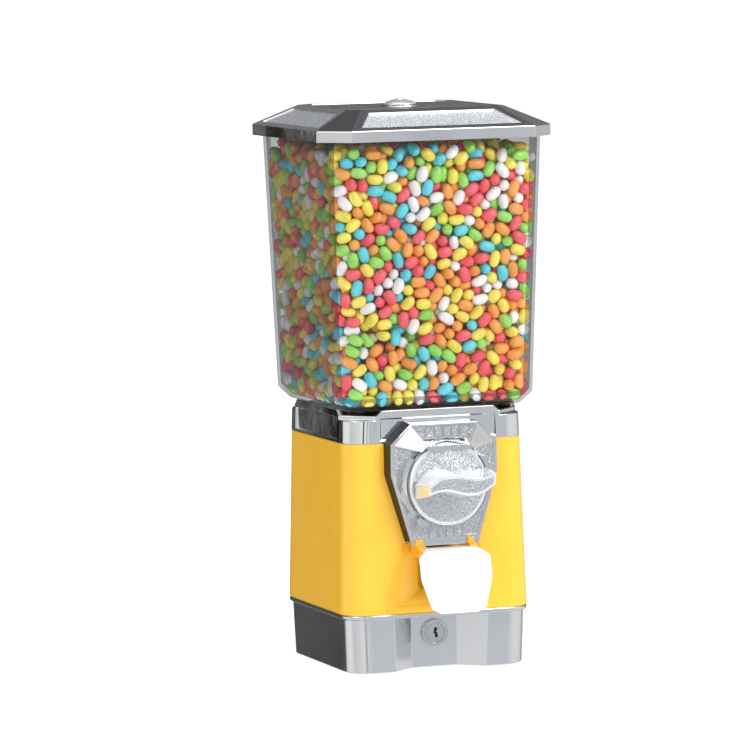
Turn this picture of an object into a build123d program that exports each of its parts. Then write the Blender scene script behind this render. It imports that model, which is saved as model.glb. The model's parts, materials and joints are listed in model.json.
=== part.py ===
from build123d import *
import math
import os

os.makedirs("parts", exist_ok=True)

# Countertop candy dispenser. Millimetres, Z up, front faces -Y,
# origin on the floor at the middle of the overall footprint; the drawing
# below is centred on the rod and moved back by FRAME_Y when saved.

# ---- driving dimensions -------------------------------------------------
WALL = 3.0

BASE_BOT, BASE_RIM_Z, BASE_TOP = 0.8, 38.5, 42.0
BASE_HALF0, BASE_HALF1, RIM_HALF = 66.9, 68.2, 70.2
BASE_R = 19.0
RECESS_OUT, RECESS_IN, RECESS_Y = 36.0, 17.0, -52.6

BODY_TOP = 162.0
BODY_HALF0, BODY_HALF1, BODY_R = 70.1, 67.2, 19.0

COLLAR_TOP, RAIL_TOP = 181.5, 185.2
COLLAR_HALF0, COLLAR_HALF1 = 67.4, 66.7
BORE_R = 57.0

CAN_BOT, CAN_KNEE, CAN_TOP = 185.2, 193.7, 378.0
CAN_HALF0, CAN_HALF1, CAN_HALF2 = 66.9, 74.1, 80.4
CAN_WALL = 2.4

LID_BOT, LID_EDGE, LID_TOP = 373.7, 381.6, 395.0
LID_HALF, LID_CH = 87.3, 19.1
LID_TOP_HALF, LID_TOP_CH = 58.7, 8.0
DOME_TOP = 400.0

ROD_R = 4.0
RUN = 0.07                      # radial running clearance of shafts and pins

CRANK_Z = 133.5
PLATE_Y = -78.0
DISC_R, DISC_Y = 29.0, -86.5
HANDLE_BACK, HANDLE_Y = -89.6, -113.0
SHAFT_R = 5.0

WHEEL_R, WHEEL_Z0, WHEEL_Z1 = 54.5, 166.0, 176.0
POCKETS, POCKET_R, POCKET_PCD = 6, 11.5, 38.0
CROWN_N, CROWN_PITCH = 16, 22.0
DRIVE_N, DRIVE_PITCH = 12, 16.5

DOOR_HINGE_Y, DOOR_HINGE_Z = -80.5, 86.0
LOCK_Z = 25.0

FRAME_Y = (-HANDLE_Y - LID_HALF) / 2


# ---- helpers ------------------------------------------------------------
def rr(half, r, z):
    return Plane.XY.offset(z) * RectangleRounded(2 * half, 2 * half, r)


def loft_rr(*secs):
    out = None
    for a, b in zip(secs[:-1], secs[1:]):
        s = loft([rr(*a), rr(*b)], ruled=True)
        out = s if out is None else out + s
    return out


def oct_face(half, c, z):
    h, k = half, half - c
    pts = [(k, -h), (h, -k), (h, k), (k, h), (-k, h), (-h, k), (-h, -k), (-k, -h)]
    return Plane.XY.offset(z) * make_face(Polyline(*pts, close=True))


def loft_oct(a, b):
    return loft([oct_face(*a), oct_face(*b)], ruled=True)


def blk(x0, x1, y0, y1, z0, z1):
    return Pos((x0 + x1) / 2, (y0 + y1) / 2, (z0 + z1) / 2) * Box(x1 - x0, y1 - y0, z1 - z0)


def cz(x, y, r, z0, z1):
    return Pos(x, y, (z0 + z1) / 2) * Cylinder(r, z1 - z0)


def cy(x, z, r, y0, y1):
    return Pos(x, (y0 + y1) / 2, z) * Rot(90, 0, 0) * Cylinder(r, y1 - y0)


def cx(y, z, r, x0, x1):
    return Pos((x0 + x1) / 2, y, z) * Rot(0, 90, 0) * Cylinder(r, x1 - x0)


def xz(pts, y0, y1):
    pl = Plane(origin=(0, y1, 0), x_dir=(1, 0, 0), z_dir=(0, -1, 0))
    return extrude(pl * make_face(Polyline(*pts, close=True)), y1 - y0)


def yz(pts, x0, x1):
    pl = Plane(origin=(x0, 0, 0), x_dir=(0, 1, 0), z_dir=(1, 0, 0))
    return extrude(pl * make_face(Polyline(*pts, close=True)), x1 - x0)


def xy(pts, z0, z1):
    return extrude(Plane.XY.offset(z0) * make_face(Polyline(*pts, close=True)), z1 - z0)


def hex_z(r, z0, z1, af):
    return extrude(Plane.XY.offset(z0) * RegularPolygon(af / math.sqrt(3), 6), z1 - z0) - cz(0, 0, r, z0 - 1, z1 + 1)


def hex_y(z, r, y0, y1, af):
    pl = Plane(origin=(0, y1, z), x_dir=(1, 0, 0), z_dir=(0, -1, 0))
    return extrude(pl * RegularPolygon(af / math.sqrt(3), 6), y1 - y0) - cy(0, z, r, y0 - 1, y1 + 1)


def save(shape, name):
    shape = Pos(0, FRAME_Y, 0) * shape
    n = len(shape.solids())
    bb = shape.bounding_box()
    print(f"{name:20s} solids {n} vol {shape.volume:10.1f} z {bb.min.Z:7.2f}..{bb.max.Z:7.2f}")
    if n == 1:
        export_step(shape.solids()[0], f"parts/{name}.step")
    else:
        export_step(Compound(children=list(shape.solids())), f"parts/{name}.step")


# ---- base ---------------------------------------------------------------
skirt_out = loft_rr((BASE_HALF0, BASE_R, BASE_BOT), (BASE_HALF1, BASE_R, BASE_RIM_Z))
skirt_in = loft_rr((BASE_HALF0 - WALL, BASE_R - WALL, BASE_BOT - 0.01), (BASE_HALF1 - WALL, BASE_R - WALL, BASE_RIM_Z))
recess = xy([(-RECESS_OUT - 1.4, -80), (-RECESS_OUT, -68.6), (-RECESS_IN, RECESS_Y), (RECESS_IN, RECESS_Y),
             (RECESS_OUT, -68.6), (RECESS_OUT + 1.4, -80)], -1, BASE_RIM_Z)
recess_wall = xy([(-41.6, -80), (-40.2, -67.0), (-18.3, RECESS_Y + WALL), (18.3, RECESS_Y + WALL),
                  (40.2, -67.0), (41.6, -80)], -1, BASE_RIM_Z)
deck = extrude(rr(RIM_HALF, 20, BASE_RIM_Z), BASE_TOP - BASE_RIM_Z)
deck = chamfer(deck.edges().filter_by(Plane.XY), 0.7)
deck -= extrude(rr(50, 10, BASE_RIM_Z - 1), 6)
base_shell = (skirt_out - recess) - (skirt_in - recess_wall) + deck
for sx in (-52, 52):
    for sy in (-52, 52):
        base_shell += cz(sx, sy, 5, 7, BASE_RIM_Z)
        base_shell -= cz(sx, sy, 2.05, 6, 17)
base_shell -= cy(0, LOCK_Z, 8.45, -60, -45)
save(base_shell, "base_shell")

base_plate = extrude(rr(63.3, 15, 5), 2)
base_plate -= xy([(-42.4, -80), (-41.0, -66.0), (-18.8, RECESS_Y + WALL + 0.6), (18.8, RECESS_Y + WALL + 0.6),
                  (41.0, -66.0), (42.4, -80)], 4, 8)
base_plate -= cz(0, 0, ROD_R + 0.2, 4, 8)
feet = None
screws = None
for sx in (-52, 52):
    for sy in (-52, 52):
        base_plate -= cz(sx, sy, 2.1, 4, 8)
        f = cz(sx, sy, 8, 0, 5)
        f = chamfer(f.edges().group_by(Axis.Z)[0], 0.8)
        f = f - cz(sx, sy, 4.2, -1, 2.6) - cz(sx, sy, 2.1, -1, 6)
        feet = f if feet is None else feet + f
        s = cz(sx, sy, 3.9, 0.7, 2.6) + cz(sx, sy, 2.0, 2.6, 16)
        s -= blk(sx - 3, sx + 3, sy - 0.5, sy + 0.5, 0.5, 1.5)
        screws = s if screws is None else screws + s
save(base_plate, "base_plate")
save(feet, "feet")
save(screws, "feet_screws")

# coin box standing on the base plate
coin_box = blk(-45, 45, -26.5, 45, 7.0, 33) - blk(-43.4, 43.4, -24.9, 43.4, 8.6, 34)
coin_box = coin_box + cz(0, 0, 7, 7.0, 33) - cz(0, 0, ROD_R + 0.6, 6, 34)
save(coin_box, "coin_box")

# ---- lock ---------------------------------------------------------------
lock_barrel = cy(0, LOCK_Z, 9.8, -55.8, RECESS_Y) + cy(0, LOCK_Z, 8.4, RECESS_Y, -37.4)
lock_barrel = chamfer(lock_barrel.edges().group_by(Axis.Y)[0], 0.8)
lock_barrel -= cy(0, LOCK_Z, 6.8 + RUN, -60, -30)
save(lock_barrel, "lock_barrel")
save(hex_y(LOCK_Z, 8.4, RECESS_Y + WALL, -46.0, 21), "lock_nut")
plug = cy(0, LOCK_Z, 6.8, -55.4, -37.0)
plug -= xz([(-0.4, 21.4), (1.7, 21.4), (1.7, 24.6), (0.3, 25.6), (1.2, 26.6), (1.2, 28.6), (-1.0, 28.6),
            (-1.0, 26.2), (-1.8, 25.2), (-0.4, 24.2)], -56, -49)
plug += blk(-3, 3, -37.0, -34.6, LOCK_Z - 3, LOCK_Z + 3)
plug -= cy(0, LOCK_Z, 1.5, -42, -34)
save(plug, "lock_plug")
cam = cy(0, LOCK_Z, 7, -36.6, -34.6) + blk(0, 17, -36.6, -34.6, LOCK_Z - 3.5, LOCK_Z + 3.5)
cam += cy(17, LOCK_Z, 3.5, -36.6, -34.6)
cam -= blk(-3, 3, -37, -34, LOCK_Z - 3, LOCK_Z + 3)
save(cam, "lock_cam")
save(cy(0, LOCK_Z, 4.6, -34.6, -32.6) + cy(0, LOCK_Z, 1.5, -41, -34.6), "cam_screw")

# ---- body ---------------------------------------------------------------
body_out = loft_rr((BODY_HALF0, BODY_R, BASE_TOP), (BODY_HALF1, BODY_R, BODY_TOP))
body_in = loft_rr((BODY_HALF0 - WALL - 0.07, BODY_R - WALL, BASE_TOP + 3), (BODY_HALF1 - WALL, BODY_R - WALL, BODY_TOP - 3))
body_shell = body_out - body_in - extrude(rr(58, 10, BASE_TOP - 1), 5) - cz(0, 0, 52, 158, 163)
mouth_cut = xz([(-31.4, 91.4), (31.4, 91.4), (41.4, 45.0), (-41.4, 45.0)], -76, -55)
body_shell -= mouth_cut
body_shell -= blk(-25.4, 25.4, -76, -50, 107.6, 158)
body_shell -= blk(26, 33, -76, -50, 120, 145)
PSCREW = [(-33.5, 150, -64.3), (33.5, 150, -64.3), (-22, 98, -65.4), (22, 98, -65.4)]
for px, pz, py in PSCREW:
    body_shell -= cy(px, pz, 2.05, -74, -60)
save(body_shell, "body_shell")

# chute: scoop behind the door, sloped trough to the exit hole, hinge ears
SL = 0.82


def fl(y):
    return 50.0 + (y + 66.0) * SL


def scoop(t, y_in, y_out):
    a = [(-12 - t, 90 + t * 0.7), (12 + t, 90 + t * 0.7), (12 + t, fl(y_in) - t), (-12 - t, fl(y_in) - t)]
    b = [(-30 - t, 90 + t * 0.7), (30 + t, 90 + t * 0.7), (40 + t, 46.6 - t), (-40 - t, 46.6 - t)]
    fa = Plane(origin=(0, y_in, 0), x_dir=(1, 0, 0), z_dir=(0, -1, 0)) * make_face(Polyline(*a, close=True))
    fb = Plane(origin=(0, y_out, 0), x_dir=(1, 0, 0), z_dir=(0, -1, 0)) * make_face(Polyline(*b, close=True))
    return loft([fa, fb], ruled=True)


trough = yz([(56, fl(56)), (-56, fl(-56)), (-56, fl(-56) - 2.4), (56, fl(56) - 2.4)], -22, 22)
wall_pts = [(56, fl(56) - 2.4), (56, 160.5), (29, 160.5), (29, 149), (-28, 103), (-56, 89.4), (-56, fl(-56) - 2.4)]
trough += yz(wall_pts, -22, -20) + yz(wall_pts, 20, 22)
trough += blk(-22, 22, 54, 56, fl(56) - 2.4, 160.5)
trough += blk(-22, -12, -56, -54.6, fl(-56) - 2.4, 89.4) + blk(12, 22, -56, -54.6, fl(-56) - 2.4, 89.4)
sc = scoop(1.4, -56, -70.2)
sc_in = scoop(0.0, -55.9, -70.3)
chute = trough + ((sc - sc_in) & body_out)
chute += cz(0, 0, 7, fl(0) - 4, 124)
chute -= cz(0, 0, ROD_R + 0.2, 90, 130)
ear = [(-58, 91.2), (-58, 87), (-70, 82.6), (-82, 82.4), (-84.2, 85), (-84.2, 88), (-82, 90.2), (-69, 90.9)]
for x0 in (-22, 16.2):
    chute += yz(ear, x0, x0 + 5.8)
chute -= cx(DOOR_HINGE_Y, DOOR_HINGE_Z, 1.5, -30, 30)
chute -= body_shell
save(chute, "chute")
save(cx(DOOR_HINGE_Y, DOOR_HINGE_Z, 1.5, -21.6, 21.6), "hinge_pin")

door = yz([(-80.5, 89.0), (-90, 89.0), (-93.4, 87.9), (-96.2, 83.5), (-98.4, 76), (-100.2, 68.5), (-104.6, 48.5),
           (-105.6, 44.0), (-103.5, 44.0), (-102.5, 48.5), (-98.1, 68.5), (-96.3, 76), (-94.2, 82.7), (-92, 86),
           (-89.4, 86.9), (-80.5, 86.9)], -27, 27)
door &= xz([(-18, 89.6), (18, 89.6), (26.5, 83.5), (26.3, 68.5), (20.2, 48.3), (13.8, 45.2),
            (-13.8, 45.2), (-20.2, 48.3), (-26.3, 68.5), (-26.5, 83.5)], -110, -70)
door -= blk(-30, -15.6, -86, -70, 40, 95) + blk(15.6, 30, -86, -70, 40, 95)
door += cx(DOOR_HINGE_Y, DOOR_HINGE_Z, 3.0, -15.6, 15.6)
door -= cx(DOOR_HINGE_Y, DOOR_HINGE_Z, 1.5 + RUN, -30, 30)
save(door, "chute_door")

# coin guide beside the housing
guide = yz([(-64.2, 119), (-50, 111), (-50, 109.5), (-64.2, 117.5)], 25.8, 35)
for x0 in (25.8, 33.8):
    guide += yz([(-64.2, 118), (-64.2, 131), (-50, 122), (-50, 110)], x0, x0 + 1.2)
save(guide, "coin_guide")

# catch bracket the lock cam reaches into
catch = blk(11, 17, -62, -28.6, 45, 46.6) + blk(11, 17, -40.6, -39, 16.4, 45.2) + blk(11, 17, -30.2, -28.6, 16.4, 45.2)
catch += blk(11, 17, -40.6, -28.6, 16.4, 18)
save(catch, "lock_catch")

# ---- collar, floor plate, cover ----------------------------------------
collar = loft_rr((COLLAR_HALF0, BODY_R, BODY_TOP), (COLLAR_HALF1, BODY_R, COLLAR_TOP))
rails = None
cuts = None
for k in range(4):
    r = xz([(-46, COLLAR_TOP - 0.5), (46, COLLAR_TOP - 0.5), (42, RAIL_TOP), (-42, RAIL_TOP)], -66.7, -63.2)
    c = blk(-43, 43, -70, -65.8, BODY_TOP + 2.4, COLLAR_TOP - 2.2)
    r, c = Rot(0, 0, 90 * k) * r, Rot(0, 0, 90 * k) * c
    rails = r if rails is None else rails + r
    cuts = c if cuts is None else cuts + c
    collar -= Rot(0, 0, 45 + 90 * k) * blk(80, 120, -40, 40, 178.4, 190)
collar = collar + rails - cuts - cz(0, 0, BORE_R, 150, 200)
save(collar, "collar")

floor_plate = cz(0, 0, BORE_R - 0.15, BODY_TOP, BODY_TOP + 3)
floor_plate = floor_plate - cz(0, 0, 10.45, 150, 170) - cz(0, POCKET_PCD, 12.5, 150, 170)
save(floor_plate, "floor_plate")

cover = blk(-16, 16, 24, 62, 177, 179.4) & cz(0, 0, BORE_R, 176, 181)
cover += (cz(0, 0, BORE_R, 179, 181.3) - cz(0, 0, BORE_R - 2, 178, 182)) & blk(-16, 16, 24, 62, 178, 182)
save(cover, "wheel_cover")

# ---- canister -----------------------------------------------------------
can = loft_rr((CAN_HALF0, 13, CAN_BOT), (CAN_HALF1, 17, CAN_KNEE), (CAN_HALF2, 17, CAN_TOP))
t = CAN_WALL
can_in = loft_rr((CAN_HALF0 - 1.6, 11.4, CAN_BOT + t), (CAN_HALF1 - t, 17 - t, CAN_KNEE + 1.0),
                 (CAN_HALF2 - t, 17 - t, CAN_TOP + 0.01))
canister = can - can_in - cz(0, 0, 53, CAN_BOT - 1, CAN_BOT + 5)
save(canister, "canister")
gasket = extrude(rr(CAN_HALF2, 17, CAN_TOP), 1.3) - extrude(rr(CAN_HALF2 - t, 17 - t, CAN_TOP - 1), 4)
save(gasket, "canister_gasket")

# ---- centre rod ---------------------------------------------------------
save(chamfer(cz(0, 0, ROD_R, 0.9, 396.8).edges().group_by(Axis.Z)[-1], 0.8), "centre_rod")
save(hex_z(ROD_R, 1.2, 4.2, 13), "rod_nut")
save(cz(0, 0, 9, 4.2, 5) - cz(0, 0, ROD_R, 4, 6), "rod_washer")
save(cz(0, 0, 6.5, 149.4, 152.4) - cz(0, 0, ROD_R, 149, 153), "rod_stop_collar")

# ---- coin mechanism -----------------------------------------------------
out = [(-25.6, 177.3), (25.6, 177.3), (41.3, 162.6), (41.4, 140), (27.2, 92),
       (-27.2, 92), (-41.4, 140), (-41.3, 162.6)]
plate = extrude(Plane(origin=(0, -66.2, 0), x_dir=(1, 0, 0), z_dir=(0, -1, 0)) * make_face(Polyline(*out, close=True)),
                -66.2 - PLATE_Y, taper=8)
plate = chamfer(plate.faces().sort_by(Axis.Y)[0].edges(), 0.4)
inset = offset(make_face(Polyline(*out, close=True)), amount=-4.4, kind=Kind.INTERSECTION)
plate -= extrude(Plane(origin=(0, PLATE_Y + 0.8, 0), x_dir=(1, 0, 0), z_dir=(0, -1, 0)) * inset, 3)
ledge = yz([(PLATE_Y + 2, 157.4), (-89, 157.4), (-89, 160.8), (-79, 163.6), (PLATE_Y + 2, 163.6)], -16.5, 16.5)
ledge -= cy(0, CRANK_Z, DISC_R + 0.7, -87, -70)
ring = cy(0, CRANK_Z, 33.6, -83.5, PLATE_Y + 1) - cy(0, CRANK_Z, 30.4, -90, -70)
lug = cy(-19.0, 107.2, 3.6, -82.6, PLATE_Y + 1) - cy(0, CRANK_Z, DISC_R + 1.4, -90, -70)
ring -= blk(-40, 40, -90, -70, 152, 170) + blk(-40, 40, -90, -70, 95, 113)
plate = plate + ring + lug


# pointed wedge on each side of the ledge: corner x, z and how far forward it stands
WEDGE = [(-25.0, 175.0, -78.4), (-15.8, 160.8, -88.9), (-19.6, 156.6, -86.0), (-37.4, 161.4, -78.4)]


def wedge(sign):
    top = [(sign * x, y, z) for x, z, y in WEDGE]
    bot = [(sign * x, PLATE_Y + 1.6, z) for x, z, y in WEDGE]
    a, b, c, d = top
    loops = [[a, b, d], [b, c, d], bot] + [[top[i], top[(i + 1) % 4], bot[(i + 1) % 4], bot[i]] for i in range(4)]
    return Solid(Shell([Face(Wire.make_polygon(q, close=True)) for q in loops]))


plate -= xz([(-23.2, 174.2), (23.2, 174.2), (15.6, 164.6), (15.6, 160), (-15.6, 160), (-15.6, 164.6)], -80, -75.2)
plate -= cy(-27.2, 155.4, 2.6, -80, -75.6) + cy(-25.6, 111.4, 2.4, -80, -75.6)
for i in range(5):
    x = -12.6 + 6.3 * i
    plate -= blk(x - 0.5, x + 0.5, -76, -74.0, 165.2, 173.8) + blk(x - 0.5, x + 0.5, -80, -76.0, 93.6, 103.4)
plate += ledge
plate = plate + wedge(1) + wedge(-1)
plate -= blk(-12.6, 12.6, -79.2, -73.8, 162.6, 164.6) + blk(-12.6, 12.6, -76.4, -73.8, 150, 164.5)
plate -= blk(11, 15.2, -82, -76, 161.6, 164.2)
plate -= cy(0, CRANK_Z, 28.4, -76.3, -70.6)
plate -= blk(-25.3, 25.3, -70.7, -60, 107.7, 157.9)
plate -= blk(24, 33, -76.3, -60, 121, 146)
plate -= cy(0, CRANK_Z, SHAFT_R + 0.5, -80, -70)
plate = plate - body_out - collar
for px, pz, py in PSCREW:
    plate -= cy(px, pz, 2.0, -72.5, -60)
save(plate, "mechanism_plate")

housing = cy(0, CRANK_Z, 28.2, -73.2, -70.7) + blk(-25, 25, -70.7, -30, 108, 157.6)
housing = housing - blk(-22.5, 22.5, -70.7, -32.5, 110.5, 155.1) - blk(-20, 20, -62, -38, 100, 112)
housing = housing - cy(0, CRANK_Z, SHAFT_R + RUN, -80, -20)
save(housing, "mechanism_housing")
ps = None
for px, pz, py in PSCREW:
    s = cy(px, pz, 3.6, py, py + 2.2) + cy(px, pz, 2.0, -72.2, py)
    ps = s if ps is None else ps + s
save(ps, "mechanism_screws")

# crank
disc = chamfer(cy(0, CRANK_Z, DISC_R, DISC_Y, -79.2).edges().group_by(Axis.Y)[0], 0.8)


# outline stations of the wavy grip: x, upper z, lower z, at its back and front
GRIP_BACK = [(-26.6, 134.0, 124.6), (-21, 138.9, 125.6), (-15.8, 142.4, 126.8), (-10.5, 144.4, 128.0), (-5.2, 144.6, 127.3),
             (0, 142.8, 126.0), (5.2, 141.5, 124.2), (10.5, 140.8, 124.4), (15.8, 142.0, 126.4), (21, 143.2, 129.9), (26.4, 144.2, 134.8)]
GRIP_FRONT = [(-24.8, 135.9, 128.8), (-20, 138.9, 130.5), (-15, 141.5, 131.3), (-10, 142.6, 131.2), (-5, 142.7, 130.0),
              (0, 141.8, 128.6), (5, 140.6, 127.7), (10, 139.9, 127.8), (15, 140.1, 128.9), (20, 141.3, 131.6), (24.9, 142.9, 135.2)]


def grip_face(stations, y, inset=0.0):
    k = 1 - inset / 25.0
    up = [(x * k, a - inset) for x, a, b in stations]
    lo = [(x * k, b + inset) for x, a, b in reversed(stations)]
    edges = [Spline(*up), Line(up[-1], lo[0]), Spline(*lo), Line(lo[-1], up[0])]
    return Plane(origin=(0, y, 0), x_dir=(1, 0, 0), z_dir=(0, -1, 0)) * make_face(Curve() + edges)


grip = loft([grip_face(GRIP_BACK, HANDLE_BACK), grip_face(GRIP_FRONT, HANDLE_Y)], ruled=True)
grip -= extrude(grip_face(GRIP_FRONT, HANDLE_Y + 0.5, 1.2), 2)
disc -= cy(0, CRANK_Z, DISC_R - 2.0, DISC_Y - 1, DISC_Y + 0.6)
neck = extrude(grip_face(GRIP_BACK, DISC_Y + 1.5, 0.6), 5.0) & cy(0, CRANK_Z, 22.6, HANDLE_BACK - 0.4, DISC_Y + 1.5)
handle = disc + neck + grip
handle -= cy(0, CRANK_Z, SHAFT_R, -83.5, -79)
save(handle, "turn_handle")
save(cy(0, CRANK_Z, SHAFT_R, -83.5, -15.5), "crank_shaft")
carrier = cy(0, CRANK_Z, 27.6, -75.9, -73.6) - cy(0, CRANK_Z, SHAFT_R, -80, -70)
carrier = carrier - cy(0, CRANK_Z + 19.9, 12.3, -80, -70) - blk(-12.3, 12.3, -80, -70, CRANK_Z + 19.9, CRANK_Z + 40)
save(carrier, "coin_carrier")


def ratchet(n, r0, r1):
    p = []
    for i in range(n):
        a = 2 * math.pi * i / n
        b = 2 * math.pi * (i + 0.94) / n
        p += [(r0 * math.cos(a), CRANK_Z + r0 * math.sin(a)), (r1 * math.cos(b), CRANK_Z + r1 * math.sin(b))]
    return p


save(xz(ratchet(12, 12.5, 16), -62, -58) - cy(0, CRANK_Z, SHAFT_R, -70, -50), "ratchet_wheel")
gear = cy(0, CRANK_Z, 13.4, -24, -20)
for i in range(DRIVE_N):
    tooth = xz([(-1.7, CRANK_Z + 12.5), (1.7, CRANK_Z + 12.5), (0.9, CRANK_Z + 18.6), (-0.9, CRANK_Z + 18.6)], -24, -20)
    tooth = Pos(0, 0, CRANK_Z) * Rot(0, 360 / DRIVE_N * i, 0) * Pos(0, 0, -CRANK_Z) * tooth
    gear += tooth
save(gear - cy(0, CRANK_Z, SHAFT_R, -30, -10), "drive_gear")
save(hex_y(CRANK_Z, SHAFT_R, -20, -16.2, 15), "shaft_nut")

# pawl
PX, PZ = 18.0, 150.5
pawl = cy(PX, PZ, 3.3, -62, -58) + xz([(PX - 0.5, PZ + 3.2), (PX + 0.5, PZ - 3.2), (8.6, 147.7), (6.6, 149.6)], -62, -58)
pawl -= cy(PX, PZ, 1.5 + RUN, -70, -50)
save(pawl, "pawl")
save(cy(PX, PZ, 1.5, -70.7, -55), "pawl_pin")
save(cy(PX, PZ, 3.2, -57.4, -55.4) - cy(PX, PZ, 1.6, -60, -50), "pawl_spring")

# ---- candy wheel --------------------------------------------------------
wheel = cz(0, 0, WHEEL_R, WHEEL_Z0, WHEEL_Z1)
for i in range(POCKETS):
    a = 90 + 360 / POCKETS * (i + 0.5)
    wheel -= Rot(0, 0, a) * (cz(POCKET_PCD, 0, POCKET_R, 150, 190) + blk(POCKET_PCD, 60, -POCKET_R, POCKET_R, 150, 190))
wheel = wheel + cz(0, 0, 10, 157, WHEEL_Z0) + cz(0, 0, 8, 152.8, 157) + cz(0, 0, 9, WHEEL_Z1, 180)
wheel -= cz(0, 0, ROD_R + RUN, 140, 190)
save(wheel, "candy_wheel")
crown = cz(0, 0, 26, 153.6, 157)
for i in range(CROWN_N):
    a = 270 + 360 / CROWN_N * (i + 0.5)
    crown += Rot(0, 0, a) * blk(18.4, 25.6, -1.25, 1.25, 148.8, 153.8)
crown -= cz(0, 0, 8, 140, 160)
save(crown, "crown_gear")
agit = cz(0, 0, 9.5, 180, 187) + Pos(0, 0, 190.5) * Cone(9.5, 5.6, 7)
for i in range(3):
    agit += Rot(0, 0, 120 * i + 30) * blk(6, 33, -1.6, 1.6, 182, 186)
agit -= cz(0, 0, ROD_R + 0.4, 170, 200)
save(agit, "agitator")

# ---- lid ----------------------------------------------------------------
lid = extrude(oct_face(LID_HALF, LID_CH, LID_BOT), LID_EDGE - LID_BOT)
lid += loft_oct((LID_HALF, LID_CH, LID_EDGE), (LID_TOP_HALF, LID_TOP_CH, LID_TOP))
lid -= extrude(oct_face(84.8, 17.64, LID_BOT - 1), 379.7 - LID_BOT + 1)
lid -= loft_oct((84.8, 17.64, 379.7), (57.3, 7.3, 392.0))
slope = math.atan2(LID_TOP - LID_EDGE, LID_HALF - LID_TOP_HALF)
mid_y, mid_z = -(LID_HALF + LID_TOP_HALF) / 2, (LID_EDGE + LID_TOP) / 2
nrm = (0, -math.sin(slope), math.cos(slope))
pan = Plane(origin=(0, mid_y, mid_z), x_dir=(1, 0, 0), z_dir=nrm)
pocket = extrude(pan * make_face(Polyline((-59, -10.5), (59, -10.5), (46.5, 10.5), (-46.5, 10.5), close=True)), 1.2, both=True)
for k in range(4):
    lid -= Rot(0, 0, 90 * k) * pocket
lid -= extrude(oct_face(53.0, 6, LID_TOP - 0.8), 2)
lid += cz(0, 0, 15, 392, LID_TOP)
lid -= cz(0, 0, 5.5 + RUN, 380, 400)
save(lid, "lid")

R_DOME = (11.5 ** 2 + 3.0 ** 2) / (2 * 3.0)
dome = Pos(0, 0, 399.3 - R_DOME) * Sphere(R_DOME)
dome &= cz(0, 0, 11.5, 395.4, 400)
nut = dome + cz(0, 0, 5.5, 388.8, 396) + cz(0, 0, 2.4, 398, DOME_TOP)
nut -= cz(0, 0, ROD_R + RUN, 380, 397.3)
save(nut, "lid_nut")
save(cz(0, 0, 9, 388.8, 391.4) - cz(0, 0, 5.5, 380, 395), "nut_retainer")
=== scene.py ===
import bpy
import bmesh
import json
import math
import numpy as np
from mathutils import Matrix, Vector, noise

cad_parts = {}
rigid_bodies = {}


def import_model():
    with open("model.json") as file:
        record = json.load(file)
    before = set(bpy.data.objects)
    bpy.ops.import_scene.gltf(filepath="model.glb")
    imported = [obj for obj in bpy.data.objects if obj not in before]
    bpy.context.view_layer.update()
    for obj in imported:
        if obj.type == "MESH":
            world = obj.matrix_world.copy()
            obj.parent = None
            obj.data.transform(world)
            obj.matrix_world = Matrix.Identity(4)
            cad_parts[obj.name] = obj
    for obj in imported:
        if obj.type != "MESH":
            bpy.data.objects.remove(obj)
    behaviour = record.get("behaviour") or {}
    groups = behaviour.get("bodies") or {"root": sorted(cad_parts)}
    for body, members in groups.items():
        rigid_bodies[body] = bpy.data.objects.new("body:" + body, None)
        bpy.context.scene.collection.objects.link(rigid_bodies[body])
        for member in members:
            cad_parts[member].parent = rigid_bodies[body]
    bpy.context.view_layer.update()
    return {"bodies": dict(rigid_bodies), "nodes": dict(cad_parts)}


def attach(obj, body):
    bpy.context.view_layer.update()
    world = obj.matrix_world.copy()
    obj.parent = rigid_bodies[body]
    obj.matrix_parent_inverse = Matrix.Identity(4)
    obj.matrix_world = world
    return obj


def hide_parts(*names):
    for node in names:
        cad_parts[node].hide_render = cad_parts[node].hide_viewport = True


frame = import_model()
NODES, BODIES = frame["nodes"], frame["bodies"]
FY = 12.85            # the row frame's origin lies this far in front of the rod, in mm
MM = 0.001


def P(x, y, z):
    return Vector((x * MM, (y + FY) * MM, z * MM))


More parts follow.
